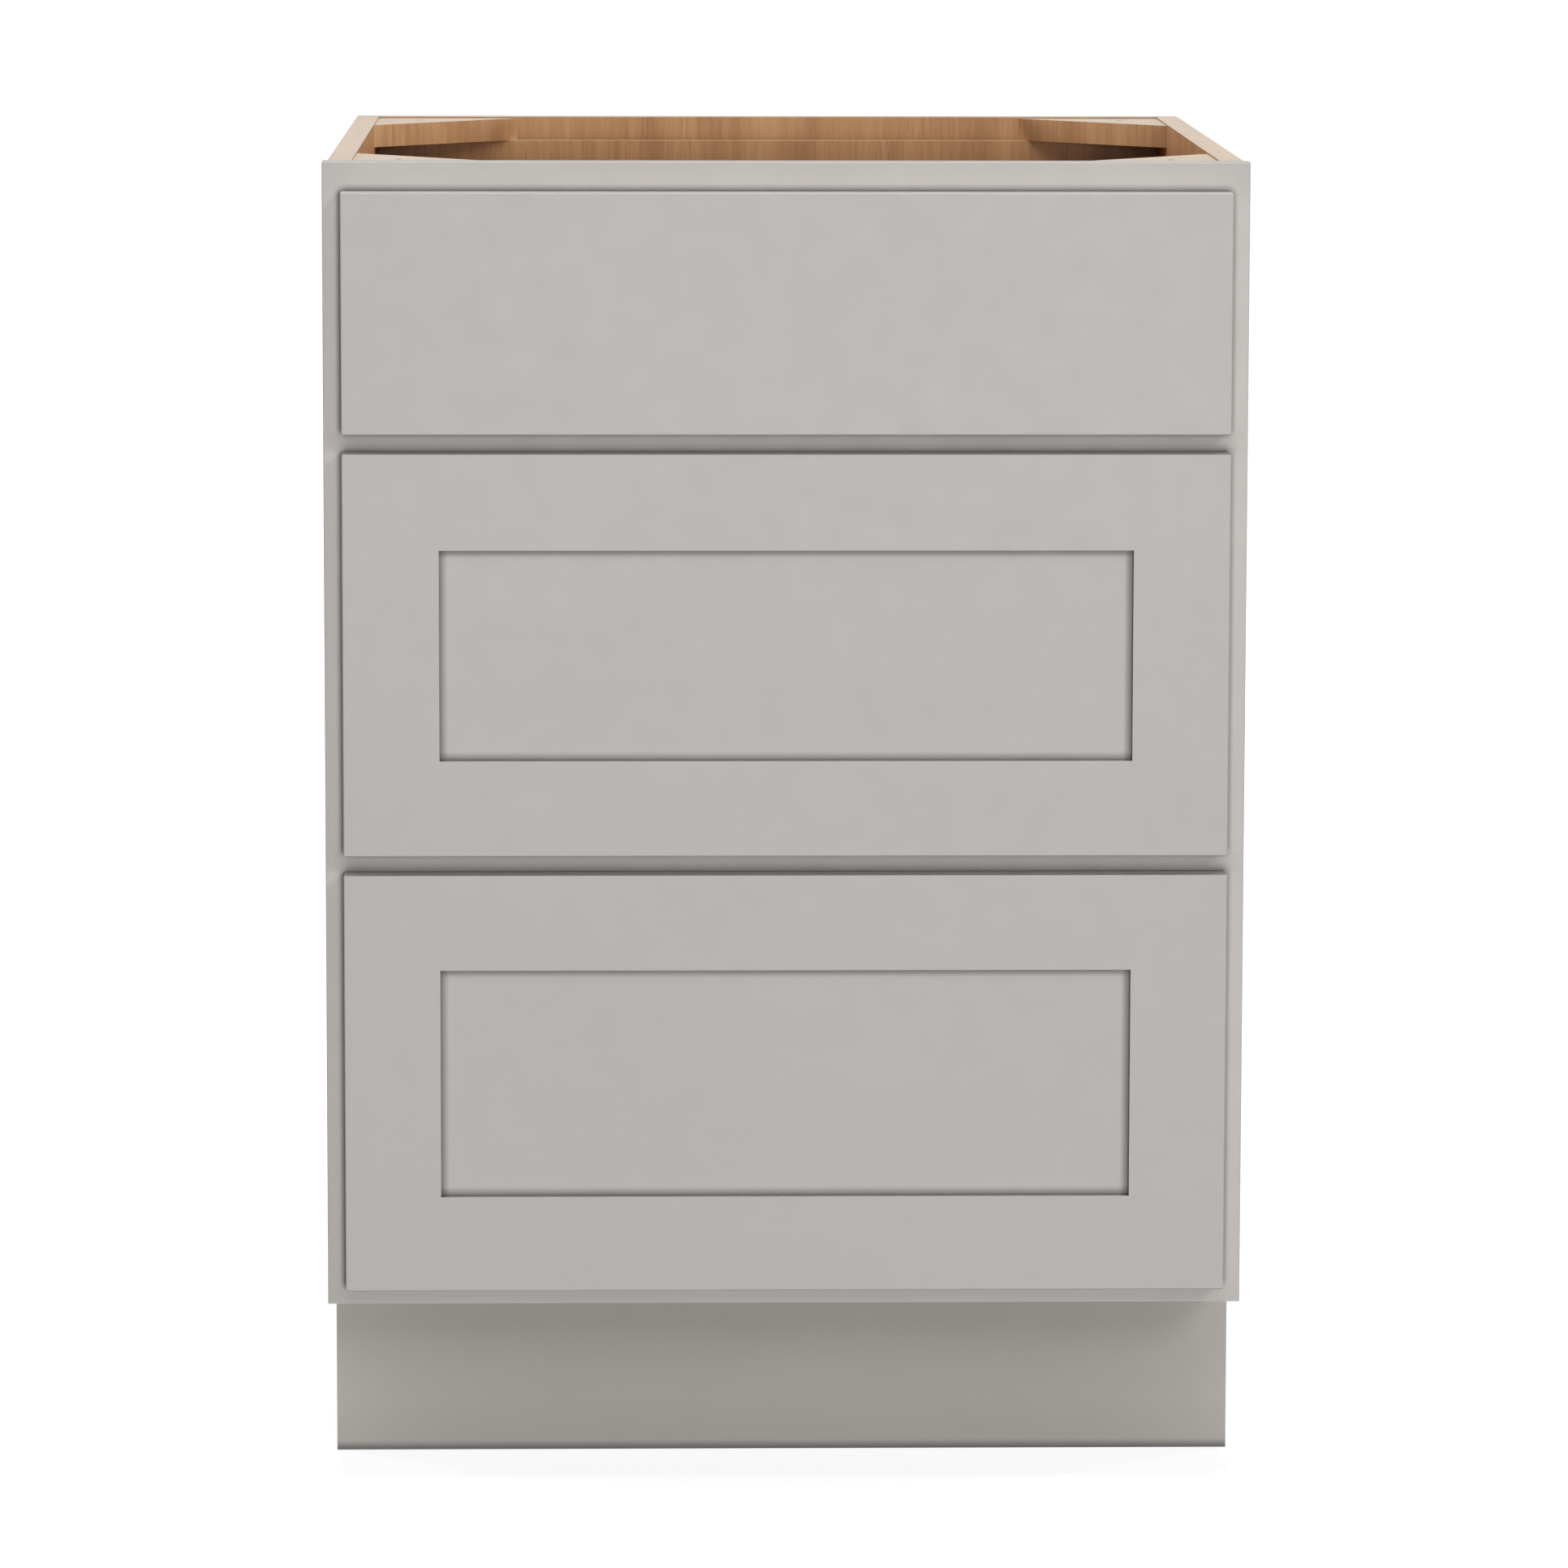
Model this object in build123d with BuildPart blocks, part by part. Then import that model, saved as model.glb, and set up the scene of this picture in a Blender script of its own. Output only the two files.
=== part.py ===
from build123d import *

import os

# Framed drawer base cabinet with three drawers on full-extension side-mounted slides.
# Millimetres, +Z up. The front faces -Y, and the origin is on the floor, in the middle of the overall box.

# Overall box, measured over the face frame
cabinet_width = 609.6
cabinet_height = 876.3
cabinet_depth = 609.6

# Cabinet box
side_thickness = 15.875
side_setback = 3.175  # the face frame stands past each side panel by this much
floor_thickness = 15.875
back_thickness = 6.35
hang_rail_thickness = 19.05
hang_rail_height = 76.2
dado_depth = 6.35  # floor and back are let into the side panels by this much
toe_height = 114.3
toe_setback = 63.5  # front of the face frame to the toe kick board
toe_board_thickness = 12.7

# Face frame
frame_thickness = 19.05
frame_stile_width = 38.1
top_rail_height = 38.1
mid_rail_height = 38.1
bottom_rail_height = 38.1
tenon_thickness = 6.35
tenon_length = 12.7
tenon_shoulder = 6.35
frame_edge_round = 0.8

# Corner blocks in the open top
block_leg = 101.6
block_thickness = 15.875
block_drop = 1.0  # the blocks lie this far below the top edges
block_hole_diameter = 5.0
block_hole_inset = 30.0

# Drawer fronts
front_thickness = 19.05
front_side_reveal = 12.7
front_top_reveal = 19.05
front_bottom_reveal = 12.7
front_gap = 12.7
top_front_height = 158.75
middle_front_height = 266.7
front_member_width = 63.5
front_edge_round = 0.8
panel_recess = 6.35
panel_thickness = 6.35
panel_groove_depth = 6.35

# Drawer boxes
box_board = 15.875
box_floor_thickness = 6.35
box_floor_inset = 9.525
box_groove_depth = 6.35
box_bottom_clearance = 6.35
box_top_clearance = 19.05
dovetail_pitch = 24.0
dovetail_pin_width = 7.0
dovetail_slope = 7.0  # run of a dovetail's flank for each unit of flare
box_edge_round = 2.0

# Slides, counted from the edge of the frame opening towards the drawer
slide_gap = 12.7
slide_height = 45.7
slide_steel = 1.2
slide_running_gap = 0.4
slide_rise = 44.0  # middle of the slide above the lower edge of the drawer box
slide_front_inset = 3.175
slide_web_space = 2.4  # room for screw heads behind the middle member
middle_member_shortfall = 32.0
drawer_member_shortfall = 4.0
slide_stop_length = 6.0
slide_stop_height = 10.0
slide_stop_reach = 1.8  # a stop stands out of its web by this much
bracket_reach = 47.625
bracket_lap = 38.0
bracket_foot = 16.0
bracket_height = 30.0
bracket_steel = 1.5
bracket_screw_spacing = 16.0

# Fasteners and bumpers
screw_diameter = 4.0
screw_head_diameter = 8.0
screw_head_height = 2.0
screw_head_taper = 25.0
screw_socket_width = 2.4
screw_socket_depth = 1.2
stile_screw_bite = 16.0
back_screw_bite = 5.5
bracket_screw_past = 2.0
box_screw_bite = 10.0
box_screw_end_inset = 45.0
front_screw_bite = 12.0
front_screw_spacing = 300.0
front_screw_rise = 6.0  # above the drawer floor
front_screw_drop = 14.0  # below the upper edge of the drawer box
bumper_thickness = 1.6
bumper_diameter = 9.5
bumper_inset = 10.0
bumper_edge_round = 0.5

# Places across the cabinet
half_width = cabinet_width / 2
side_outer = half_width - side_setback
side_inner = side_outer - side_thickness
opening_half = half_width - frame_stile_width
front_half = half_width - front_side_reveal
front_inner_half = front_half - front_member_width
box_half = opening_half - slide_gap
box_inner_half = box_half - box_board

# Places from front to back
front_y = -(front_thickness + bumper_thickness + cabinet_depth) / 2
front_back_y = front_y + front_thickness
frame_y = front_back_y + bumper_thickness
frame_back_y = frame_y + frame_thickness
back_y = frame_y + cabinet_depth
hang_rail_y = back_y - hang_rail_thickness
back_panel_y = hang_rail_y - back_thickness
toe_board_y = frame_y + toe_setback
toe_notch_y = toe_board_y + toe_board_thickness
slide_front_y = frame_y + slide_front_inset
slide_rear_y = back_panel_y - bracket_reach
slide_travel = slide_rear_y - slide_front_y  # a full-extension slide opens by its own length
middle_member_travel = slide_travel / 2
front_span_y = (front_y, front_back_y)
frame_span_y = (frame_y, frame_back_y)
box_span_y = (front_back_y, slide_rear_y)
panel_span_y = (front_y + panel_recess, front_y + panel_recess + panel_thickness)

# Heights
floor_top = toe_height + bottom_rail_height
floor_bottom = floor_top - floor_thickness
block_bottom = cabinet_height - block_drop - block_thickness
top_front_high = cabinet_height - front_top_reveal
top_front_low = top_front_high - top_front_height
middle_front_high = top_front_low - front_gap
middle_front_low = middle_front_high - middle_front_height
bottom_front_high = middle_front_low - front_gap
bottom_front_low = toe_height + front_bottom_reveal
upper_mid_rail_low = top_front_low - front_gap / 2 - mid_rail_height / 2
lower_mid_rail_low = middle_front_low - front_gap / 2 - mid_rail_height / 2

front_spans_z = {
    "top": (top_front_low, top_front_high),
    "middle": (middle_front_low, middle_front_high),
    "bottom": (bottom_front_low, bottom_front_high),
}
frame_rails_z = {
    "frame_top_rail": (cabinet_height - top_rail_height, cabinet_height),
    "frame_upper_mid_rail": (upper_mid_rail_low, upper_mid_rail_low + mid_rail_height),
    "frame_lower_mid_rail": (lower_mid_rail_low, lower_mid_rail_low + mid_rail_height),
    "frame_bottom_rail": (toe_height, floor_top),
}
opening_spans_z = {
    "top": (upper_mid_rail_low + mid_rail_height, cabinet_height - top_rail_height),
    "middle": (lower_mid_rail_low + mid_rail_height, upper_mid_rail_low),
    "bottom": (floor_top, lower_mid_rail_low),
}
box_spans_z = {
    drawer: (low + box_bottom_clearance, high - box_top_clearance)
    for drawer, (low, high) in opening_spans_z.items()
}
slide_z = {drawer: low + slide_rise for drawer, (low, high) in box_spans_z.items()}
side_signs = {"left": -1, "right": 1}


def length(span):
    return span[1] - span[0]


def middle(span):
    return (span[0] + span[1]) / 2


def both_ways(half):
    return (-half, half)


def on_side(side, near, far):
    """Span across the cabinet between two distances from its middle, on the left (-1) or right (1)."""
    return tuple(sorted((side * near, side * far)))


def board(span_x, span_y, span_z, mode=Mode.ADD):
    """Square-edged board between two corners, added to or cut from the piece being built."""
    with Locations((middle(span_x), middle(span_y), middle(span_z))):
        Box(length(span_x), length(span_y), length(span_z), mode=mode)


def drill(seats):
    """Holes for screws, each given as the plane of its head's seat and the length of its shank."""
    for seat, shank in seats:
        with Locations(seat):
            upright = (Align.CENTER, Align.CENTER, Align.MIN)
            Cylinder(screw_diameter / 2, shank, align=upright, mode=Mode.SUBTRACT)


def save(piece, name):
    piece.part.label = name
    export_step(piece.part, f"parts/{name}.step")


# Boards whose place is also cut into their neighbours
floor_board = (both_ways(side_inner + dado_depth), (frame_back_y, back_panel_y), (floor_bottom, floor_top))
back_board = (both_ways(side_inner + dado_depth), (back_panel_y, hang_rail_y), (floor_bottom, block_bottom))


def frame_tenon(side, rail_z):
    """Tenon of one face frame rail in a stile, as the spans of a board."""
    tenon_x = on_side(side, opening_half, opening_half + tenon_length)
    tenon_y = (middle(frame_span_y) - tenon_thickness / 2, middle(frame_span_y) + tenon_thickness / 2)
    tenon_z = (rail_z[0] + tenon_shoulder, rail_z[1] - tenon_shoulder)
    return tenon_x, tenon_y, tenon_z


def drawer_floor(drawer):
    """Floor of a drawer box, as the spans of a board that sits in grooves on all four sides."""
    box_z = box_spans_z[drawer]
    span_y = (box_span_y[0] + box_board - box_groove_depth, box_span_y[1] - box_board + box_groove_depth)
    floor_low = box_z[0] + box_floor_inset
    return both_ways(box_inner_half + box_groove_depth), span_y, (floor_low, floor_low + box_floor_thickness)


def front_field(drawer):
    """Flat panel of a five-piece front, as the spans of a board that sits in grooves on all four sides."""
    front_z = front_spans_z[drawer]
    inset = front_member_width - panel_groove_depth
    return both_ways(front_half - inset), panel_span_y, (front_z[0] + inset, front_z[1] - inset)


def dovetail_pins(drawer, end_y, inward):
    """Outlines in Y and Z of the pins at one end of a drawer side; each narrows towards the end."""
    box_z = box_spans_z[drawer]
    base_y = end_y + inward * box_board
    flare = box_board / dovetail_slope
    count = max(1, round(length(box_z) / dovetail_pitch))
    outlines = []
    for index in range(count + 1):
        pin_z = box_z[0] + index * length(box_z) / count
        tip_low = max(box_z[0], pin_z - dovetail_pin_width / 2)
        tip_high = min(box_z[1], pin_z + dovetail_pin_width / 2)
        base_low = max(box_z[0], tip_low - flare)
        base_high = min(box_z[1], tip_high + flare)
        outlines.append(((end_y, tip_low), (end_y, tip_high), (base_y, base_high), (base_y, base_low)))
    return outlines


# Screws, each as the plane of its head's seat, facing the way it is driven, and the length of its shank
def stile_screws(side):
    """One screw through the front of each cabinet member into the edge of the frame stile."""
    seat_x = side * (opening_half - slide_steel)
    return [
        (Plane((seat_x, middle(frame_span_y), z), z_dir=(side, 0, 0)), slide_steel + stile_screw_bite)
        for z in slide_z.values()
    ]


def bracket_slide_screws(side):
    """One screw through the rear of each cabinet member and its bracket."""
    seat_x = side * (opening_half - slide_steel)
    seat_y = slide_rear_y - bracket_lap / 2
    shank = slide_steel + bracket_steel + bracket_screw_past
    return [(Plane((seat_x, seat_y, z), z_dir=(side, 0, 0)), shank) for z in slide_z.values()]


def bracket_back_screws(side):
    """Two screws through each bracket's foot into the back panel."""
    seat_x = side * (opening_half + (bracket_steel + bracket_foot) / 2)
    seat_y = back_panel_y - bracket_steel
    offsets = both_ways(bracket_screw_spacing / 2)
    return [
        (Plane((seat_x, seat_y, z + offset), z_dir=(0, 1, 0)), bracket_steel + back_screw_bite)
        for z in slide_z.values()
        for offset in offsets
    ]


def box_screws(drawer, side):
    """Three screws through a drawer member into the side of the drawer box."""
    seat_x = side * (box_half + slide_steel)
    rear_y = slide_rear_y - drawer_member_shortfall
    member_y = (slide_front_y + box_screw_end_inset, rear_y - box_screw_end_inset)
    return [
        (Plane((seat_x, y, slide_z[drawer]), z_dir=(-side, 0, 0)), slide_steel + box_screw_bite)
        for y in (member_y[0], middle(member_y), member_y[1])
    ]


def front_screws(drawer):
    """Four screws from inside the drawer box into the drawer front."""
    box_z = box_spans_z[drawer]
    seat_y = box_span_y[0] + box_board
    low = box_z[0] + box_floor_inset + box_floor_thickness + front_screw_rise
    high = box_z[1] - front_screw_drop
    return [
        (Plane((x, seat_y, z), z_dir=(0, -1, 0)), box_board + front_screw_bite)
        for x in both_ways(front_screw_spacing / 2)
        for z in (low, high)
    ]


# Cabinet box
def side_panel(side):
    with BuildPart() as panel:
        with BuildSketch(Plane.YZ.offset(on_side(side, side_inner, side_outer)[0])):
            with BuildLine():
                Polyline(
                    (toe_notch_y, 0),
                    (back_y, 0),
                    (back_y, cabinet_height),
                    (frame_back_y, cabinet_height),
                    (frame_back_y, toe_height),
                    (toe_notch_y, toe_height),
                    close=True,
                )
            make_face()
        extrude(amount=side_thickness)
        board(*floor_board, mode=Mode.SUBTRACT)
        board(*back_board, mode=Mode.SUBTRACT)
    return panel


def bottom_panel():
    with BuildPart() as panel:
        board(*floor_board)
    return panel


def back_panel():
    with BuildPart() as panel:
        board(*back_board)
        for side in side_signs.values():
            drill(bracket_back_screws(side))
    return panel


def hang_rail(low):
    with BuildPart() as rail:
        board(both_ways(side_inner), (hang_rail_y, back_y), (low, low + hang_rail_height))
    return rail


def toe_kick_board():
    with BuildPart() as toe_board:
        board(both_ways(side_outer), (toe_board_y, toe_notch_y), (0, toe_height))
    return toe_board


def corner_block(side, corner_y, inward):
    """Right triangle in a corner of the open top, drilled for a countertop screw."""
    corner_x = side * side_inner
    with BuildPart() as block:
        with BuildSketch(Plane.XY.offset(block_bottom)):
            with BuildLine():
                Polyline(
                    (corner_x, corner_y),
                    (corner_x - side * block_leg, corner_y),
                    (corner_x, corner_y + inward * block_leg),
                    close=True,
                )
            make_face()
            with Locations((corner_x - side * block_hole_inset, corner_y + inward * block_hole_inset)):
                Circle(block_hole_diameter / 2, mode=Mode.SUBTRACT)
        extrude(amount=block_thickness)
    return block


# Face frame
def frame_stile(side):
    with BuildPart() as stile:
        board(on_side(side, opening_half, half_width), frame_span_y, (toe_height, cabinet_height))
        front_edges = stile.faces().sort_by(Axis.Y)[0].edges()
        outer_edge = front_edges.filter_by(Axis.Z).sort_by_distance((0, frame_y, 0))[-1]
        top_edge = front_edges.filter_by(Axis.X).sort_by(Axis.Z)[-1]
        fillet((outer_edge, top_edge), radius=frame_edge_round)
        for rail_z in frame_rails_z.values():
            board(*frame_tenon(side, rail_z), mode=Mode.SUBTRACT)
        drill(stile_screws(side))
    return stile


def frame_rail(rail_z):
    with BuildPart() as rail:
        board(both_ways(opening_half), frame_span_y, rail_z)
        if rail_z[1] == cabinet_height:
            front_edges = rail.faces().sort_by(Axis.Y)[0].edges()
            fillet(front_edges.filter_by(Axis.X).sort_by(Axis.Z)[-1], radius=frame_edge_round)
        for side in side_signs.values():
            board(*frame_tenon(side, rail_z))
    return rail


# Slides: three nested steel channels on each side of a drawer, with room between them for the balls
cabinet_member_half = slide_height / 2
middle_member_half = cabinet_member_half - slide_steel - slide_running_gap
drawer_member_half = middle_member_half - slide_steel - slide_running_gap
middle_web_near = slide_steel + slide_web_space
drawer_tip = middle_web_near + slide_steel + slide_running_gap
cabinet_tip = slide_gap - slide_steel - 2 * slide_running_gap
middle_tip = cabinet_tip - slide_steel - slide_running_gap
middle_rear_y = slide_rear_y - middle_member_shortfall
drawer_rear_y = slide_rear_y - drawer_member_shortfall
stop_room = slide_stop_length + slide_running_gap
cabinet_stop_y = middle_rear_y - middle_member_travel - stop_room
middle_stop_y = drawer_rear_y - (slide_travel - middle_member_travel) - stop_room


def channel_profile(side, z, web, tip, half_height):
    """Channel section in X and Z, from the outside of its web to the tips of its flanges."""
    inside = web + slide_steel if web < tip else web - slide_steel
    outer_x = on_side(side, opening_half - web, opening_half - tip)
    inner_x = on_side(side, opening_half - inside, opening_half - tip)
    with Locations((middle(outer_x), z)):
        Rectangle(length(outer_x), 2 * half_height)
    with Locations((middle(inner_x), z)):
        Rectangle(length(inner_x), 2 * (half_height - slide_steel), mode=Mode.SUBTRACT)


def formed_stop(side, z, near, far, rear_y):
    """Stop in a channel, between two distances from the edge of the frame opening towards the drawer."""
    stop_x = on_side(side, opening_half - far, opening_half - near)
    stop_z = (z - slide_stop_height / 2, z + slide_stop_height / 2)
    board(stop_x, (rear_y - slide_stop_length, rear_y), stop_z)


def cabinet_members(drawer):
    z = slide_z[drawer]
    lip_x = opening_half - cabinet_tip + slide_steel / 2
    lip_length = slide_steel + slide_running_gap
    lip_rise = cabinet_member_half - slide_steel - lip_length / 2
    with BuildPart() as members:
        for side in side_signs.values():
            with BuildSketch(Plane.XZ.offset(-slide_rear_y)):
                channel_profile(side, z, 0, cabinet_tip, cabinet_member_half)
                with Locations((side * lip_x, z + lip_rise), (side * lip_x, z - lip_rise)):
                    Rectangle(slide_steel, lip_length)
            extrude(amount=slide_rear_y - slide_front_y)
            formed_stop(side, z, slide_steel, slide_steel + slide_stop_reach, cabinet_stop_y)
            drill(stile_screws(side))
            drill(bracket_slide_screws(side))
    return members


def middle_members(drawer):
    z = slide_z[drawer]
    web_far = middle_web_near + slide_steel
    with BuildPart() as members:
        for side in side_signs.values():
            with BuildSketch(Plane.XZ.offset(-middle_rear_y)):
                channel_profile(side, z, middle_web_near, middle_tip, middle_member_half)
            extrude(amount=middle_rear_y - slide_front_y)
            formed_stop(side, z, middle_web_near - slide_stop_reach, middle_web_near, middle_rear_y)
            formed_stop(side, z, web_far, web_far + slide_stop_reach, middle_stop_y)
    return members


def drawer_members(drawer):
    z = slide_z[drawer]
    with BuildPart() as members:
        for side in side_signs.values():
            with BuildSketch(Plane.XZ.offset(-drawer_rear_y)):
                channel_profile(side, z, slide_gap, drawer_tip, drawer_member_half)
            extrude(amount=drawer_rear_y - slide_front_y)
            formed_stop(side, z, drawer_tip, slide_gap - slide_steel, drawer_rear_y)
            drill(box_screws(drawer, side))
    return members


def rear_brackets():
    """Bent steel angles that carry the slides' rear ends from the back panel."""
    with BuildPart() as brackets:
        for side in side_signs.values():
            for z in slide_z.values():
                with BuildSketch(Plane.XY.offset(z - bracket_height / 2)):
                    with BuildLine():
                        Polyline(
                            (side * opening_half, slide_rear_y - bracket_lap),
                            (side * opening_half, back_panel_y),
                            (side * (opening_half + bracket_foot), back_panel_y),
                            (side * (opening_half + bracket_foot), back_panel_y - bracket_steel),
                            (side * (opening_half + bracket_steel), back_panel_y - bracket_steel),
                            (side * (opening_half + bracket_steel), slide_rear_y - bracket_lap),
                            close=True,
                        )
                    make_face()
                extrude(amount=bracket_height)
            drill(bracket_slide_screws(side))
            drill(bracket_back_screws(side))
    return brackets


def screw_group(seats):
    """Pan head screws with a square drive socket."""
    with BuildPart() as screws:
        for seat, shank in seats:
            with BuildSketch(seat):
                Circle(screw_diameter / 2)
            extrude(amount=shank)
            with BuildSketch(Plane(seat.origin, seat.x_dir, -seat.z_dir)):
                Circle(screw_head_diameter / 2)
            extrude(amount=screw_head_height, taper=screw_head_taper)
            with BuildSketch(seat.offset(-screw_head_height)):
                Rectangle(screw_socket_width, screw_socket_width)
            extrude(amount=screw_socket_depth, mode=Mode.SUBTRACT)
    return screws


# Drawer boxes, dovetailed at all four corners
def box_side(drawer, side):
    box_z = box_spans_z[drawer]
    side_x = on_side(side, box_inner_half, box_half)
    with BuildPart() as side_board:
        board(side_x, box_span_y, box_z)
        fillet(side_board.faces().sort_by(Axis.Z)[-1].edges().filter_by(Axis.Y), radius=box_edge_round)
        for end_y, inward in ((box_span_y[0], 1), (box_span_y[1], -1)):
            with BuildSketch(Plane.YZ.offset(side_x[0])):
                for outline in dovetail_pins(drawer, end_y, inward):
                    with BuildLine():
                        Polyline(*outline, close=True)
                    make_face()
            extrude(amount=box_board, mode=Mode.SUBTRACT)
        board(*drawer_floor(drawer), mode=Mode.SUBTRACT)
        drill(box_screws(drawer, side))
    return side_board


def box_end(drawer, end_y, inward, seats=()):
    """Front or back board of a drawer box, with its dovetail pins and the holes for its screws."""
    box_z = box_spans_z[drawer]
    inner_y = end_y + inward * box_board
    with BuildPart() as end_board:
        board(both_ways(box_inner_half), tuple(sorted((end_y, inner_y))), box_z)
        upper_edges = end_board.faces().sort_by(Axis.Z)[-1].edges().filter_by(Axis.X)
        fillet(upper_edges.sort_by_distance((0, inner_y, box_z[1]))[0], radius=box_edge_round)
        for side in side_signs.values():
            with BuildSketch(Plane.YZ.offset(on_side(side, box_inner_half, box_half)[0])):
                for outline in dovetail_pins(drawer, end_y, inward):
                    with BuildLine():
                        Polyline(*outline, close=True)
                    make_face()
            extrude(amount=box_board)
        upper_edges = end_board.faces().sort_by(Axis.Z)[-1].edges()
        outer_edge = upper_edges.filter_by(Axis.X).sort_by_distance((0, end_y, box_z[1]))[0]
        pin_edges = upper_edges.filter_by(Axis.Y).sort_by(Axis.X)
        fillet((outer_edge, pin_edges[0], pin_edges[-1]), radius=box_edge_round)
        board(*drawer_floor(drawer), mode=Mode.SUBTRACT)
        drill(seats)
    return end_board


def box_floor(drawer):
    with BuildPart() as floor:
        board(*drawer_floor(drawer))
    return floor


# Drawer fronts
def slab_front(drawer):
    with BuildPart() as slab:
        board(both_ways(front_half), front_span_y, front_spans_z[drawer])
        eased_edges = slab.faces().sort_by(Axis.Y)[0].edges() + slab.edges().filter_by(Axis.Y)
        fillet(eased_edges, radius=front_edge_round)
        drill(front_screws(drawer))
    return slab


def front_stile(drawer, side):
    """Upright of a five-piece front, grooved for the panel along its whole inner edge."""
    front_z = front_spans_z[drawer]
    centre = (0, front_y, middle(front_z))
    with BuildPart() as stile:
        board(on_side(side, front_inner_half, front_half), front_span_y, front_z)
        face_edges = stile.faces().sort_by(Axis.Y)[0].edges().sort_by_distance(centre)
        corner_edges = stile.edges().filter_by(Axis.Y).sort_by_distance(centre)
        fillet(face_edges[1:] + corner_edges[-2:], radius=front_edge_round)
        groove_x = on_side(side, front_inner_half, front_inner_half + panel_groove_depth)
        board(groove_x, panel_span_y, front_z, mode=Mode.SUBTRACT)
        drill(front_screws(drawer))
    return stile


def front_rail(drawer, rail_z):
    """Upper or lower rail of a five-piece front, with stub tenons that fill the stiles' grooves."""
    centre = (0, front_y, middle(front_spans_z[drawer]))
    with BuildPart() as rail:
        board(both_ways(front_inner_half), front_span_y, rail_z)
        face_edges = rail.faces().sort_by(Axis.Y)[0].edges().filter_by(Axis.X)
        fillet(face_edges.sort_by_distance(centre)[-1], radius=front_edge_round)
        board(both_ways(front_inner_half + panel_groove_depth), panel_span_y, rail_z)
        board(*front_field(drawer), mode=Mode.SUBTRACT)
        drill(front_screws(drawer))
    return rail


def front_panel(drawer):
    with BuildPart() as panel:
        board(*front_field(drawer))
        drill(front_screws(drawer))
    return panel


def bumpers(drawer):
    """Soft dots behind the corners of a drawer front, which meet the face frame when it is shut."""
    front_z = front_spans_z[drawer]
    bumper_x = both_ways(front_half - bumper_inset)
    bumper_z = (front_z[0] + bumper_inset, front_z[1] - bumper_inset)
    with BuildPart() as dots:
        with BuildSketch(Plane.XZ.offset(-frame_y)):
            with Locations(*[(x, z) for x in bumper_x for z in bumper_z]):
                Circle(bumper_diameter / 2)
        extrude(amount=bumper_thickness)
        fillet(dots.edges().group_by(Axis.Y)[-1], radius=bumper_edge_round)
    return dots


os.makedirs("parts", exist_ok=True)

save(bottom_panel(), "bottom_panel")
save(back_panel(), "back_panel")
save(hang_rail(cabinet_height - hang_rail_height), "top_hang_rail")
save(hang_rail(floor_bottom), "bottom_hang_rail")
save(toe_kick_board(), "toe_kick_board")
for side_name, side in side_signs.items():
    save(side_panel(side), f"{side_name}_side_panel")
    save(frame_stile(side), f"frame_{side_name}_stile")
    save(corner_block(side, frame_back_y, 1), f"front_{side_name}_corner_block")
    save(corner_block(side, hang_rail_y, -1), f"rear_{side_name}_corner_block")
for name, rail_z in frame_rails_z.items():
    save(frame_rail(rail_z), name)

slide_seats = []
for side in side_signs.values():
    slide_seats += stile_screws(side) + bracket_slide_screws(side) + bracket_back_screws(side)
save(screw_group(slide_seats), "slide_mounting_screws")
save(rear_brackets(), "slide_rear_brackets")

for drawer, front_z in front_spans_z.items():
    save(cabinet_members(drawer), f"{drawer}_slide_cabinet_members")
    save(middle_members(drawer), f"{drawer}_slide_middle_members")
    save(drawer_members(drawer), f"{drawer}_slide_drawer_members")
    for side_name, side in side_signs.items():
        save(box_side(drawer, side), f"{drawer}_box_{side_name}_side")
    save(box_end(drawer, box_span_y[0], 1, front_screws(drawer)), f"{drawer}_box_front")
    save(box_end(drawer, box_span_y[1], -1), f"{drawer}_box_back")
    save(box_floor(drawer), f"{drawer}_box_floor")
    drawer_seats = front_screws(drawer) + box_screws(drawer, -1) + box_screws(drawer, 1)
    save(screw_group(drawer_seats), f"{drawer}_drawer_screws")
    save(bumpers(drawer), f"{drawer}_drawer_bumpers")
    if drawer == "top":
        save(slab_front(drawer), "top_drawer_front")
    else:
        for side_name, side in side_signs.items():
            save(front_stile(drawer, side), f"{drawer}_front_{side_name}_stile")
        top_rail_z = (front_z[1] - front_member_width, front_z[1])
        bottom_rail_z = (front_z[0], front_z[0] + front_member_width)
        save(front_rail(drawer, top_rail_z), f"{drawer}_front_top_rail")
        save(front_rail(drawer, bottom_rail_z), f"{drawer}_front_bottom_rail")
        save(front_panel(drawer), f"{drawer}_front_panel")
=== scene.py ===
import math

import bmesh
import bpy
from mathutils import Matrix, Vector


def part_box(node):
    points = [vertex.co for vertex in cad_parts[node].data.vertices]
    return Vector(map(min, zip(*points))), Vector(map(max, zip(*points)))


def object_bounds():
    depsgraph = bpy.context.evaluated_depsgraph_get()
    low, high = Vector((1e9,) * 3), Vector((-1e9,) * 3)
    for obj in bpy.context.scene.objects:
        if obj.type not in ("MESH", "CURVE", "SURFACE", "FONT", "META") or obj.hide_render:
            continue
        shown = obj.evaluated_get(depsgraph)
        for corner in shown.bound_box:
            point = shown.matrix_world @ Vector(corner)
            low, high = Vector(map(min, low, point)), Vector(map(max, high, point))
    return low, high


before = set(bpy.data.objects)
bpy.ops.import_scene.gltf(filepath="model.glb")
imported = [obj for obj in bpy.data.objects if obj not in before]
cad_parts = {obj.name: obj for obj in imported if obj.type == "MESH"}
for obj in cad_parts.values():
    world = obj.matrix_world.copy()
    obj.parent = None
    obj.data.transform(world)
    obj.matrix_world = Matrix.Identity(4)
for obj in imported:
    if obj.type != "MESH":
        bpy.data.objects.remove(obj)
cad_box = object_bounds()

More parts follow.
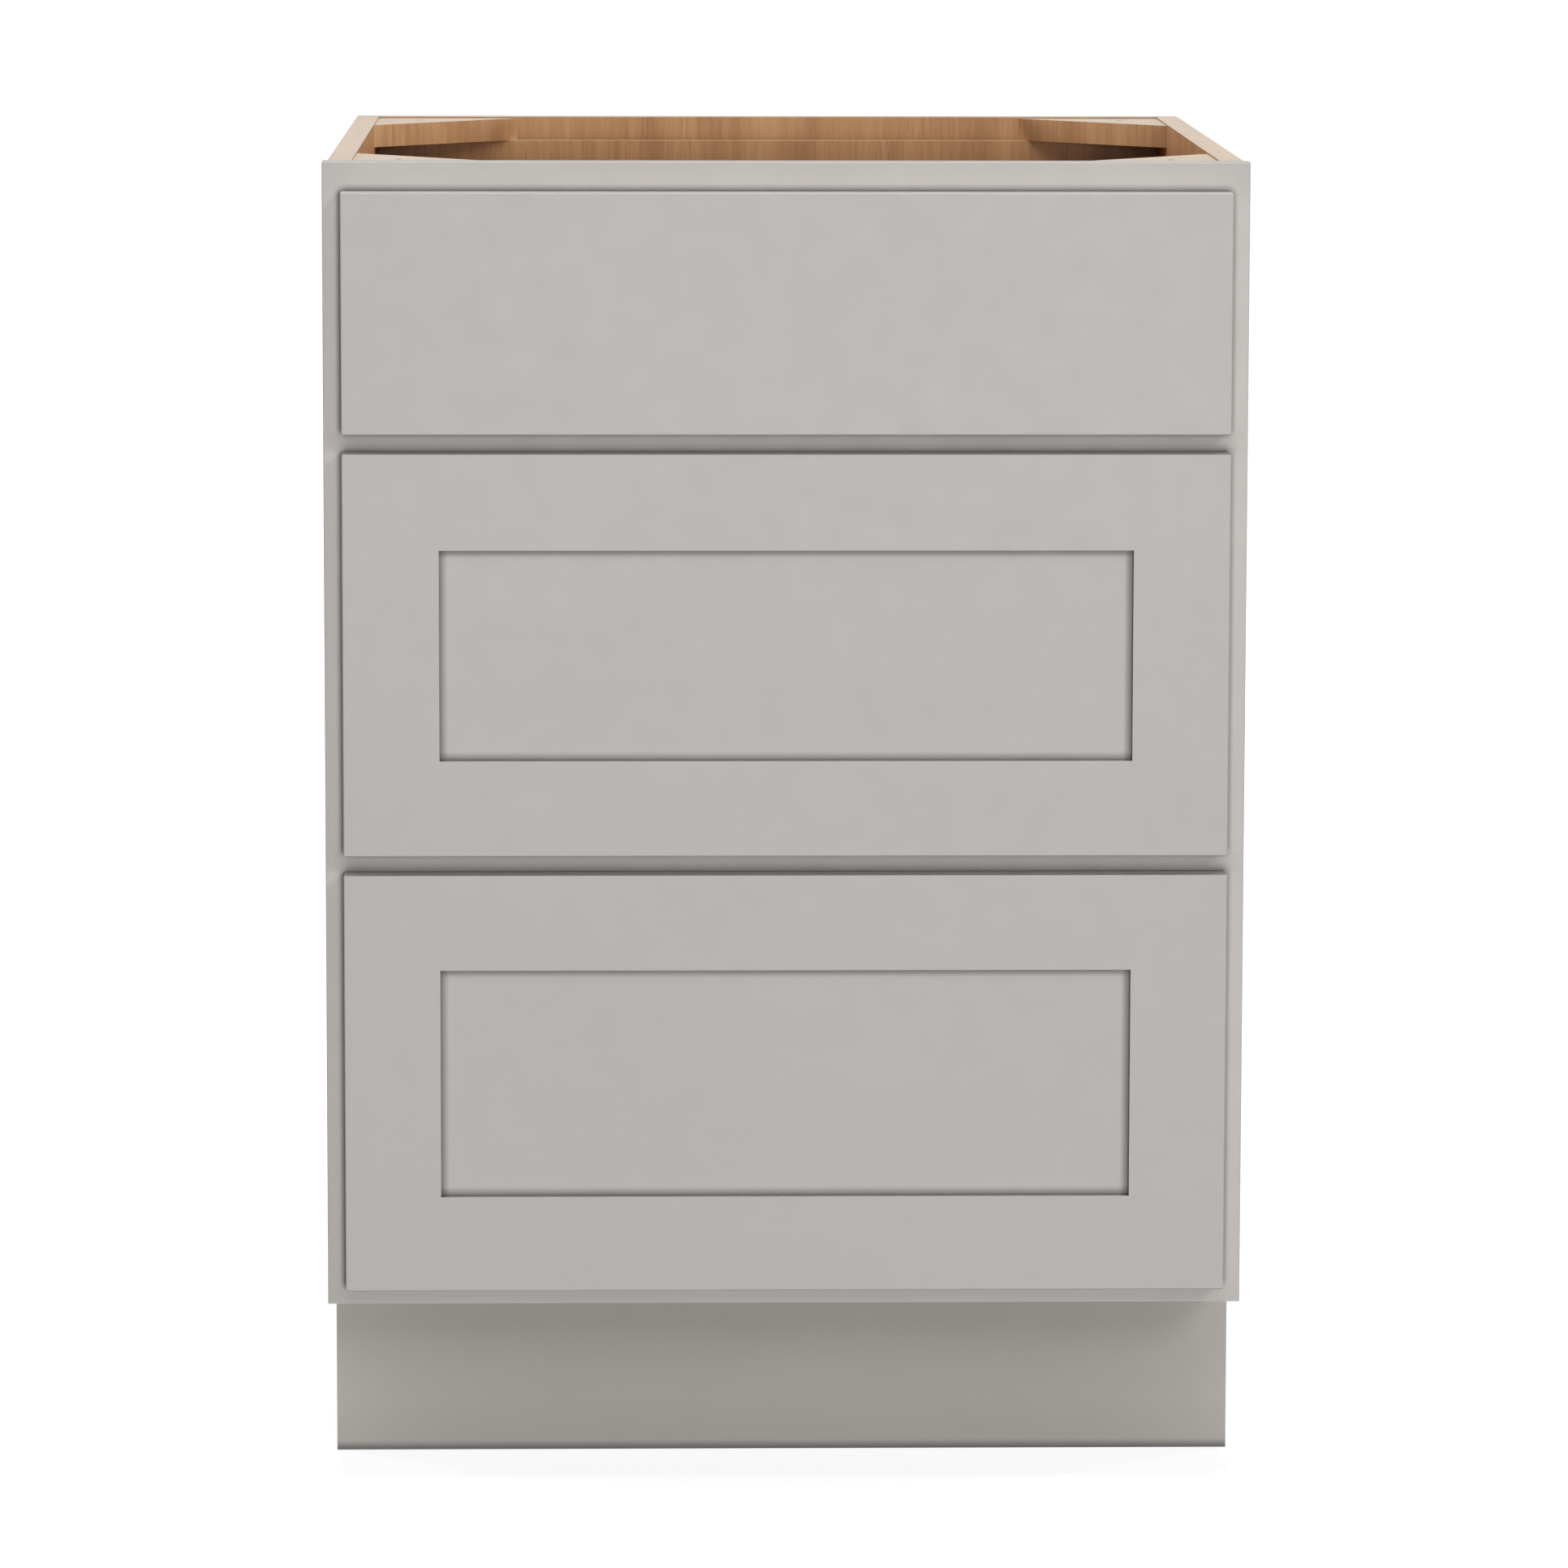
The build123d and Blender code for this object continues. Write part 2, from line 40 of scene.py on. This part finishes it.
# Camera, fitted to the corners of the cabinet in the photograph (metres, degrees and millimetres of lens)
CAMERA_PLACE = (-0.1137, -5.1669, 1.1488)
CAMERA_YAW = 1.324
CAMERA_PITCH = 7.387
CAMERA_ROLL = 0.12
CAMERA_LENS = 170.46
CAMERA_SENSOR = 36.0
CAMERA_SHIFT_Y = -0.05

# Light: round soft boxes, each as its place, its width and its power
SOFT_BOXES = {
    "front_fill": ((0.6, -9.0, 0.7), 2.2, 500.0),
    "key": ((6.3, -9.1, 5.6), 3.7, 340.0),
    "upper_front": ((0.0, -5.0, 5.5), 3.4, 69.0),
    "overhead": ((0.0, 0.0, 9.0), 1.8, 530.0),
    "rear_left": ((-5.0, 3.0, 1.8), 2.5, 200.0),
    "rear_right": ((5.0, 3.0, 1.8), 2.5, 200.0),
}
LIGHT_AIM = (0.0, 0.0, 0.45)
SKY_SEEN = 1.0
SKY_REFLECTED = 0.5
SKY_FILL = 0.05  # strength of the sky as it lights matt surfaces
FLOOR_SIZE = 60.0
FLOOR_COLOUR = (0.22, 0.22, 0.22)
FLOOR_GLOW = (0.85, 1.0)  # light of the floor beside the cabinet and far from it
FLOOR_GLOW_REACH = (0.8, 3.5)

# Colours, as linear values; a wood has a dark, a middle and a light one
FRONT_PAINT = (0.457, 0.434, 0.415)
FRAME_PAINT = (0.476, 0.449, 0.426)
# Paint of the toe kick: the frame's paint darkened as painted shade under the overhang
TOE_PAINT_IN_PAINTED_SHADE = (0.330, 0.307, 0.281)
VENEER = (0.405, 0.212, 0.089), (0.489, 0.271, 0.119), (0.562, 0.332, 0.159)
SIDE_VENEER = (0.32, 0.145, 0.053), (0.385, 0.185, 0.07), (0.445, 0.23, 0.096)
BLOCK_VENEER = (0.425, 0.233, 0.108), (0.513, 0.298, 0.144), (0.59, 0.365, 0.192)
MAPLE = (0.52, 0.345, 0.19), (0.64, 0.45, 0.265), (0.70, 0.52, 0.33)
EDGE_DARK = (0.54, 0.435, 0.34)
EDGE_LIGHT = (0.59, 0.49, 0.395)
END_DARK = (0.36, 0.22, 0.115)
END_LIGHT = (0.54, 0.36, 0.20)
ZINC = (0.37, 0.375, 0.385)
SCREW = (0.40, 0.39, 0.375)
BUMPER = (0.72, 0.72, 0.70)

# Roughness, as its lowest and its highest value
PAINT_ROUGHNESS = (0.42, 0.54)
WOOD_ROUGHNESS = (0.36, 0.50)
END_ROUGHNESS = (0.5, 0.65)
EDGE_ROUGHNESS = (0.48, 0.6)
ZINC_ROUGHNESS = (0.28, 0.42)
SCREW_ROUGHNESS = (0.25, 0.38)
BUMPER_ROUGHNESS = (0.4, 0.6)

# Texture scales, in waves per metre; a grain has one across it and one along it
PAINT_CLOUD = 3.0
PAINT_FLECK = 900.0
PAINT_GRAIN = (260.0, 5.0)
PAINT_PEEL = 650.0
PAINT_SHEEN = 45.0
WOOD_BANDS = (26.0, 2.0)
WOOD_STREAKS = (190.0, 9.0)
WOOD_FLECKS = (560.0, 32.0)
END_RINGS = (70.0, 70.0, 260.0)
END_SPECKS = 1600.0
EDGE_LINES = (320.0, 3.0)
EDGE_CLOUDS = 16.0
STEEL_LINES = (900.0, 7.0)
STEEL_SPANGLE = 110.0
BUMPER_FROST = 1500.0
WOOD_BAND_SHARE = 0.58  # share of the bands in the figure of the wood, beside the streaks
EDGE_LINE_SHARE = 0.6  # share of the lines in the figure of a cut edge, beside the clouds

# Depths of the finest relief, in metres
PAINT_PEEL_DEPTH = 0.00004
PAINT_GRAIN_DEPTH = 0.00003
WOOD_STREAK_DEPTH = 0.00005
WOOD_FLECK_DEPTH = 0.00004
END_SPECK_DEPTH = 0.00006
EDGE_LINE_DEPTH = 0.00004
STEEL_LINE_DEPTH = 0.00002
BUMPER_FROST_DEPTH = 0.00003

# Painted shade in corners and gaps, darker where other surfaces are near, as its reach and its power
SHADE_SAMPLES = 12
VENEER_SHADE = (0.06, (0.855, 1.10, 1.30))  # least in red, so that the wood turns warmer in the painted shade
RAIL_SHADE = (0.012, (0.6, 0.66, 0.72))
FRONT_SHADE = (0.006, 1.9)
FRAME_SHADE = (0.0055, 1.5)
TOE_SHADE = (0.0065, 2.4)
GAP_SHADE = (0.012, (0.85, 0.55))  # painted shade, with a power for the lower and the upper half of the gaps
GAP_FADE = (0.005, 0.0075)  # distances from a gap's middle where its painted shade ends
GAP_BLEND = (-0.002, 0.002)  # heights about a gap's middle where the two halves of its painted shade meet
TOP_REVEAL_FADE = (-0.007, 0.005)  # heights about the top front's upper edge where its painted shade begins
# Painted shade: the frame's colour is multiplied by this above the top front
TOP_REVEAL_SHADE_TONE = 0.92
TOP_REVEAL_POWER = 2.2
RIGHT_REVEAL_FADE = (-0.004, 0.002)  # places about its right edge where its painted shade begins
RIGHT_REVEAL_POWER = 2.4
TOE_END_PAINTED_LIGHT = 0.28  # painted light: the toe kick is this much lighter at its open ends
TOE_END_PAINTED_LIGHT_POWER = 5.0
TOE_FOOT_SHADE_TONE = 0.89
TOE_FOOT = (0.0, 0.036)  # heights between which painted shade darkens the toe kick towards the floor

MIX_A, MIX_B, MIX_RESULT = 6, 7, 2  # the colour sockets of a Mix node
FACING = 0.8  # least cosine between a face and the direction that it looks in
LOOKS = {
    "left": Vector((-1, 0, 0)),
    "right": Vector((1, 0, 0)),
    "front": Vector((0, -1, 0)),
    "back": Vector((0, 1, 0)),
    "down": Vector((0, 0, -1)),
    "up": Vector((0, 0, 1)),
}


class Graph:
    """The node tree of one material. Each call adds nodes and gives their output."""

    def __init__(self, name):
        self.material = bpy.data.materials.new(name)
        self.material.use_nodes = True
        self.tree = self.material.node_tree
        self.tree.nodes.clear()
        self.shader = self.node("ShaderNodeBsdfPrincipled")
        output = self.node("ShaderNodeOutputMaterial")
        self.tree.links.new(self.shader.outputs["BSDF"], output.inputs["Surface"])

    def node(self, kind, inputs=None, **settings):
        node = self.tree.nodes.new(kind)
        for name, value in settings.items():
            setattr(node, name, value)
        for name, value in (inputs or {}).items():
            self.put(node.inputs[name], value)
        return node

    def put(self, socket, value):
        if isinstance(value, bpy.types.NodeSocket):
            self.tree.links.new(value, socket)
        else:
            socket.default_value = value

    def set(self, **values):
        """Sets the surface shader's own inputs, with spaces in their names written as _."""
        for name, value in values.items():
            self.put(self.shader.inputs[name.replace("_", " ")], value)

    def position(self, stretch):
        """Place in the shared frame, in metres, with each axis multiplied by its stretch."""
        place = self.node("ShaderNodeTexCoord").outputs["Object"]
        return self.node("ShaderNodeVectorMath", {0: place, 1: stretch}, operation="MULTIPLY").outputs[0]

    def place(self, axis):
        """Place in the shared frame along the X, Y or Z axis, in metres."""
        return self.node("ShaderNodeSeparateXYZ", {0: self.position(evenly(1.0))}).outputs[axis]

    def noise(self, stretch, detail=3.0, roughness=0.5, distortion=0.0):
        inputs = {"Vector": self.position(stretch), "Scale": 1.0, "Detail": detail}
        inputs.update({"Roughness": roughness, "Distortion": distortion})
        return self.node("ShaderNodeTexNoise", inputs).outputs["Fac"]

    def ramp(self, factor, *stops):
        """Colours along a factor, each stop as (place, colour)."""
        node = self.node("ShaderNodeValToRGB", {"Fac": factor})
        elements = node.color_ramp.elements
        while len(elements) < len(stops):
            elements.new(1.0)
        for element, (place, colour) in zip(elements, stops):
            element.position = place
            element.color = opaque(colour)
        return node.outputs["Color"]

    def fit(self, value, low, high, start=0.0, end=1.0):
        """A value between start and end, brought to between low and high."""
        inputs = {"Value": value, "From Min": start, "From Max": end, "To Min": low, "To Max": high}
        return self.node("ShaderNodeMapRange", inputs).outputs["Result"]

    def math(self, operation, a, b):
        return self.node("ShaderNodeMath", {0: a, 1: b}, operation=operation).outputs[0]

    def mix(self, factor, a, b, blend="MIX"):
        node = self.node("ShaderNodeMix", data_type="RGBA", blend_type=blend)
        for name, value in (("Factor", factor), (MIX_A, a), (MIX_B, b)):
            self.put(node.inputs[name], value)
        return node.outputs[MIX_RESULT]

    def tint(self, colour, red, green, blue):
        """A colour with each of its channels multiplied."""
        factors = self.node("ShaderNodeCombineColor", {"Red": red, "Green": green, "Blue": blue})
        return self.mix(1.0, colour, factors.outputs["Color"], blend="MULTIPLY")

    def openness(self, reach):
        """1 in the open, and less where other surfaces are within reach."""
        node = self.node("ShaderNodeAmbientOcclusion", {"Distance": reach}, samples=SHADE_SAMPLES)
        return node.outputs["AO"]

    def bump(self, height, depth, normal=None):
        inputs = {"Height": height, "Distance": depth, "Strength": 1.0}
        if normal is not None:
            inputs["Normal"] = normal
        return self.node("ShaderNodeBump", inputs).outputs["Normal"]


def evenly(scale):
    """Stretch of a texture that is alike in all directions."""
    return (scale, scale, scale)


def along(axis, across, lengthwise):
    """Stretch of a texture whose grain runs along the x, y or z axis."""
    stretch = [across] * 3
    stretch["xyz".index(axis)] = lengthwise
    return stretch


def opaque(colour):
    return (*colour, 1.0)


def shaded(colour, amount):
    return tuple(channel * amount for channel in colour)


def about(middle, distances):
    return tuple(middle + distance for distance in distances)


def in_painted_shade(g, colour, tone, *shades):
    """A colour times a tone of painted light and shade, with painted shade where other surfaces are near.
    """
    for reach, power in shades:
        tone = g.math("MULTIPLY", tone, g.math("POWER", g.openness(reach), power))
    return g.tint(colour, tone, tone, tone)


def in_warm_painted_shade(g, colour, reach, powers):
    """A colour with painted shade where other surfaces are near, by a power each for red, green and blue.
    """
    openness = g.openness(reach)
    return g.tint(colour, *(g.math("POWER", openness, power) for power in powers))


def paint(g, axis, base, tone, *shades):
    """Sprayed satin paint over wood, whose grain shows very faintly along one axis."""
    cloud = g.noise(evenly(PAINT_CLOUD), detail=3)
    fleck = g.noise(evenly(PAINT_FLECK), detail=2)
    grain = g.noise(along(axis, *PAINT_GRAIN), detail=3)
    colour = g.ramp(cloud, (0.3, shaded(base, 0.985)), (0.7, shaded(base, 1.015)))
    colour = g.mix(g.fit(grain, 0.0, 0.06), colour, opaque(shaded(base, 0.8)))
    colour = g.mix(g.fit(fleck, 0.0, 0.05), colour, opaque(shaded(base, 1.2)))
    # Painted light and shade: the colour is multiplied by the given tone and darkened where other surfaces
    # are near
    colour = in_painted_shade(g, colour, tone, *shades)
    peel = g.noise(evenly(PAINT_PEEL), detail=2)
    normal = g.bump(peel, PAINT_PEEL_DEPTH)
    normal = g.bump(grain, PAINT_GRAIN_DEPTH, normal)
    roughness = g.fit(g.noise(evenly(PAINT_SHEEN), detail=4), *PAINT_ROUGHNESS)
    g.set(Base_Color=colour, Roughness=roughness, Normal=normal, Specular_IOR_Level=0.35)
    return g.material


def front_paint(name, axis):
    # With painted shade in the recesses and where other surfaces are near
    return paint(Graph(name), axis, FRONT_PAINT, 1.0, FRONT_SHADE)


def gap_middles():
    """Heights of the middles of the gaps between the drawer fronts."""
    above_and_below = {
        "top_drawer_front": "middle_front_top_rail",
        "middle_front_bottom_rail": "bottom_front_top_rail",
    }
    return [(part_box(above)[0].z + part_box(below)[1].z) / 2 for above, below in above_and_below.items()]


def gap_power(g, height, lower_half, upper_half):
    """Power of the painted shade in the gaps between the fronts, and 0 at other heights."""
    power = 0.0
    for middle in gap_middles():
        offset = g.math("SUBTRACT", height, middle)
        inside = g.fit(g.math("ABSOLUTE", offset, 0.0), 1.0, 0.0, *GAP_FADE)
        half = g.fit(offset, lower_half, upper_half, *GAP_BLEND)
        power = g.math("ADD", power, g.math("MULTIPLY", inside, half))
    return power


def frame_paint(name, axis):
    """Paint with deeper painted shade above the top front, right of the fronts and between them."""
    g = Graph(name)
    height = g.place("Z")
    top_front_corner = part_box("top_drawer_front")[1]
    top_reveal = about(top_front_corner.z, TOP_REVEAL_FADE)
    right_reveal = about(top_front_corner.x, RIGHT_REVEAL_FADE)
    # Painted shade: a darker tone and a deeper shade above the top front, a deeper shade right of the
    # fronts
    tone = g.fit(height, 1.0, TOP_REVEAL_SHADE_TONE, *top_reveal)
    reach, power = FRAME_SHADE
    above = g.fit(height, power, TOP_REVEAL_POWER, *top_reveal)
    beside = g.fit(g.place("X"), power, RIGHT_REVEAL_POWER, *right_reveal)
    edge_shade = reach, g.math("MAXIMUM", above, beside)
    reach, halves = GAP_SHADE
    gap_shade = reach, gap_power(g, height, *halves)
    return paint(g, axis, FRAME_PAINT, tone, edge_shade, gap_shade)


def toe_paint(name):
    """Paint with painted light towards the open ends of the toe kick and painted shade towards the floor.
    """
    g = Graph(name)
    half_width = cad_box[1].x
    across = g.math("ABSOLUTE", g.math("DIVIDE", g.place("X"), half_width), 0.0)
    # Painted light at the open ends of the toe kick, and painted shade towards the floor
    ends = g.fit(g.math("POWER", across, TOE_END_PAINTED_LIGHT_POWER), 1.0, 1.0 + TOE_END_PAINTED_LIGHT)
    painted_foot_shade = g.fit(g.place("Z"), TOE_FOOT_SHADE_TONE, 1.0, *TOE_FOOT)
    return paint(g, "x", TOE_PAINT_IN_PAINTED_SHADE, g.math("MULTIPLY", ends, painted_foot_shade), TOE_SHADE)


def wood(name, axis, colours, shade=None):
    """Clear-coated close-grained wood: slow bands of tone, fine streaks and short flecks along one axis."""
    g = Graph(name)
    dark, mid, light = colours
    bands = g.noise(along(axis, *WOOD_BANDS), detail=3, distortion=0.8)
    streaks = g.noise(along(axis, *WOOD_STREAKS), detail=5, roughness=0.6, distortion=0.3)
    flecks = g.noise(along(axis, *WOOD_FLECKS), detail=2, distortion=0.2)
    figure = g.math("ADD", g.fit(bands, 0.0, WOOD_BAND_SHARE), g.fit(streaks, 0.0, 1.0 - WOOD_BAND_SHARE))
    colour = g.ramp(figure, (0.38, dark), (0.5, mid), (0.62, light))
    colour = g.mix(g.fit(flecks, 0.0, 0.5, start=0.60, end=0.72), colour, opaque(shaded(dark, 0.74)))
    colour = g.mix(g.fit(flecks, 0.4, 0.0, start=0.28, end=0.40), colour, opaque(shaded(light, 1.12)))
    # Painted shade, warmer, where other surfaces are near
    if shade:
        colour = in_warm_painted_shade(g, colour, *shade)
    normal = g.bump(streaks, WOOD_STREAK_DEPTH)
    normal = g.bump(flecks, WOOD_FLECK_DEPTH, normal)
    roughness = g.fit(streaks, *WOOD_ROUGHNESS)
    g.set(Base_Color=colour, Roughness=roughness, Normal=normal, Specular_IOR_Level=0.25)
    return g.material


def end_grain(name, dark, light):
    """Cut across the grain: growth rings, speckled with pores."""
    g = Graph(name)
    rings = g.noise(END_RINGS, detail=3, distortion=1.2)
    specks = g.noise(evenly(END_SPECKS), detail=2)
    colour = g.ramp(rings, (0.32, dark), (0.68, light))
    colour = g.mix(g.fit(specks, 0.0, 0.5, start=0.5, end=0.75), colour, opaque(shaded(dark, 0.6)))
    normal = g.bump(specks, END_SPECK_DEPTH)
    roughness = g.fit(specks, *END_ROUGHNESS)
    g.set(Base_Color=colour, Roughness=roughness, Normal=normal, Specular_IOR_Level=0.3)
    return g.material


def cut_edge(name, axis):
    """Pale finished edge of a board, with fine lines along it."""
    g = Graph(name)
    lines = g.noise(along(axis, *EDGE_LINES), detail=4)
    clouds = g.noise(evenly(EDGE_CLOUDS), detail=2)
    figure = g.math("ADD", g.fit(lines, 0.0, EDGE_LINE_SHARE), g.fit(clouds, 0.0, 1.0 - EDGE_LINE_SHARE))
    colour = g.ramp(figure, (0.34, EDGE_DARK), (0.62, EDGE_LIGHT))
    normal = g.bump(lines, EDGE_LINE_DEPTH)
    roughness = g.fit(lines, *EDGE_ROUGHNESS)
    g.set(Base_Color=colour, Roughness=roughness, Normal=normal, Specular_IOR_Level=0.3)
    return g.material


def rolled_steel(name, colour, roughness):
    """Zinc-plated steel with rolling lines along the slide and a faint spangle."""
    g = Graph(name)
    lines = g.noise(along("y", *STEEL_LINES), detail=3)
    spangle = g.noise(evenly(STEEL_SPANGLE), detail=2, distortion=1.5)
    base = g.ramp(spangle, (0.3, shaded(colour, 0.9)), (0.7, shaded(colour, 1.06)))
    normal = g.bump(lines, STEEL_LINE_DEPTH)
    g.set(Base_Color=base, Roughness=g.fit(lines, *roughness), Normal=normal, Metallic=1.0)
    return g.material


def soft_dot(name):
    """Frosted clear polymer."""
    g = Graph(name)
    frost = g.noise(evenly(BUMPER_FROST), detail=2)
    base = g.ramp(frost, (0.3, shaded(BUMPER, 0.94)), (0.7, BUMPER))
    normal = g.bump(frost, BUMPER_FROST_DEPTH)
    g.set(Base_Color=base, Roughness=g.fit(frost, *BUMPER_ROUGHNESS), Normal=normal)
    g.set(Transmission_Weight=0.4, IOR=1.45)
    return g.material


def dress(name, face, **faces):
    """Gives a node one material, and others to its faces that look left, right, front, back, down or up."""
    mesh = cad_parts[name].data
    mesh.materials.clear()
    for material in (face, *faces.values()):
        mesh.materials.append(material)
    for polygon in mesh.polygons:
        polygon.material_index = 0
        for index, look in enumerate(faces, start=1):
            if polygon.normal.dot(LOOKS[look]) > FACING:
                polygon.material_index = index


def dress_cabinet():
    upright = frame_paint("frame_paint_upright", "z")
    level = frame_paint("frame_paint_level", "x")
    toe = toe_paint("toe_kick_paint")
    veneer = wood("ply_veneer", "z", VENEER, VENEER_SHADE)
    side_veneer = wood("ply_veneer_side", "z", SIDE_VENEER, VENEER_SHADE)
    floor_veneer = wood("ply_floor", "y", VENEER)
    rail_veneer = wood("ply_veneer_rail", "z", VENEER, RAIL_SHADE)
    block_veneer = wood("ply_veneer_block", "z", BLOCK_VENEER)
    thin_edge = wood("ply_thin_edge", "x", MAPLE)
    edge_y = cut_edge("edge_front_to_back", "y")
    edge_x = cut_edge("edge_across", "x")
    edge_z = cut_edge("edge_upright", "z")
    for side in ("left", "right"):
        side_faces = {"up": edge_y, "down": edge_y, "back": edge_z, "front": edge_z, side: upright}
        dress(f"{side}_side_panel", side_veneer, **side_faces)
        dress(f"frame_{side}_stile", upright)
        dress(f"front_{side}_corner_block", block_veneer, up=edge_x, down=edge_x)
        dress(f"rear_{side}_corner_block", block_veneer, up=edge_x, down=edge_x)
    for name in ("top_rail", "upper_mid_rail", "lower_mid_rail", "bottom_rail"):
        dress(f"frame_{name}", level)
    dress("toe_kick_board", toe)
    dress("bottom_panel", floor_veneer)
    dress("back_panel", veneer, up=thin_edge, down=thin_edge)
    dress("top_hang_rail", rail_veneer, up=edge_x, down=edge_x)
    dress("bottom_hang_rail", veneer, up=edge_x, down=edge_x)


def dress_drawers():
    upright = front_paint("front_paint_upright", "z")
    level = front_paint("front_paint_level", "x")
    maple_y = wood("maple_front_to_back", "y", MAPLE)
    maple_x = wood("maple_across", "x", MAPLE)
    ends = end_grain("maple_end_grain", END_DARK, END_LIGHT)
    zinc = rolled_steel("zinc_plated_steel", ZINC, ZINC_ROUGHNESS)
    screw = rolled_steel("screw_steel", SCREW, SCREW_ROUGHNESS)
    polymer = soft_dot("bumper_polymer")
    dress("slide_mounting_screws", screw)
    dress("slide_rear_brackets", zinc)
    for drawer in ("top", "middle", "bottom"):
        for member in ("cabinet", "middle", "drawer"):
            dress(f"{drawer}_slide_{member}_members", zinc)
        for side in ("left", "right"):
            dress(f"{drawer}_box_{side}_side", maple_y, front=ends, back=ends)
        for end in ("front", "back"):
            dress(f"{drawer}_box_{end}", maple_x, left=ends, right=ends)
        dress(f"{drawer}_box_floor", maple_x)
        dress(f"{drawer}_drawer_screws", screw)
        dress(f"{drawer}_drawer_bumpers", polymer)
    dress("top_drawer_front", level)
    for drawer in ("middle", "bottom"):
        for side in ("left", "right"):
            dress(f"{drawer}_front_{side}_stile", upright)
        for member in ("top_rail", "bottom_rail", "panel"):
            dress(f"{drawer}_front_{member}", level)


def floor():
    """Pale floor that runs out past the picture and glows, so that it stays white far away."""
    g = Graph("pale_floor")
    place = g.position(evenly(1.0))
    away = g.node("ShaderNodeVectorMath", {0: place}, operation="LENGTH").outputs["Value"]
    glow = g.fit(away, *FLOOR_GLOW, *FLOOR_GLOW_REACH)
    g.set(Base_Color=opaque(FLOOR_COLOUR), Roughness=0.8, Specular_IOR_Level=0.1)
    g.set(Emission_Color=opaque((1.0, 1.0, 1.0)), Emission_Strength=glow)
    mesh = bpy.data.meshes.new("floor")
    shape = bmesh.new()
    bmesh.ops.create_grid(shape, x_segments=1, y_segments=1, size=FLOOR_SIZE / 2)
    shape.to_mesh(mesh)
    shape.free()
    mesh.materials.append(g.material)
    plane = bpy.data.objects.new("floor", mesh)
    plane.visible_diffuse = False
    bpy.context.collection.objects.link(plane)


def soft_box(name, place, width, power):
    data = bpy.data.lights.new(name, "AREA")
    data.shape = "DISK"
    data.size = width
    data.energy = power
    light = bpy.data.objects.new(name, data)
    light.location = place
    light.rotation_euler = (Vector(LIGHT_AIM) - Vector(place)).to_track_quat("-Z", "Y").to_euler()
    bpy.context.collection.objects.link(light)


def studio_light():
    """White surround that lights matt surfaces only a little, and soft boxes all round."""
    world = bpy.data.worlds.new("studio")
    world.use_nodes = True
    nodes, links = world.node_tree.nodes, world.node_tree.links
    sky = nodes["Background"]
    sky.inputs["Color"].default_value = opaque((1.0, 1.0, 1.0))
    rays = nodes.new("ShaderNodeLightPath")
    indirect = nodes.new("ShaderNodeMapRange")
    indirect.inputs["To Min"].default_value = SKY_REFLECTED
    indirect.inputs["To Max"].default_value = SKY_FILL
    strength = nodes.new("ShaderNodeMapRange")
    strength.inputs["To Max"].default_value = SKY_SEEN
    links.new(rays.outputs["Is Diffuse Ray"], indirect.inputs["Value"])
    links.new(rays.outputs["Is Camera Ray"], strength.inputs["Value"])
    links.new(indirect.outputs["Result"], strength.inputs["To Min"])
    links.new(strength.outputs["Result"], sky.inputs["Strength"])
    bpy.context.scene.world = world
    for name, (place, width, power) in SOFT_BOXES.items():
        soft_box(name, place, width, power)
    bpy.context.scene.view_settings.view_transform = "Standard"


def photo_camera():
    data = bpy.data.cameras.new("photo_camera")
    data.sensor_width = CAMERA_SENSOR
    data.lens = CAMERA_LENS
    data.shift_y = CAMERA_SHIFT_Y
    camera = bpy.data.objects.new("photo_camera", data)
    turn = Matrix.Rotation(math.radians(-CAMERA_YAW), 4, "Z")
    tilt = Matrix.Rotation(math.radians(90.0 - CAMERA_PITCH), 4, "X")
    roll = Matrix.Rotation(math.radians(CAMERA_ROLL), 4, "Z")
    camera.matrix_world = Matrix.Translation(CAMERA_PLACE) @ turn @ tilt @ roll
    bpy.context.collection.objects.link(camera)
    bpy.context.scene.camera = camera


dress_cabinet()
dress_drawers()
floor()
studio_light()
photo_camera()
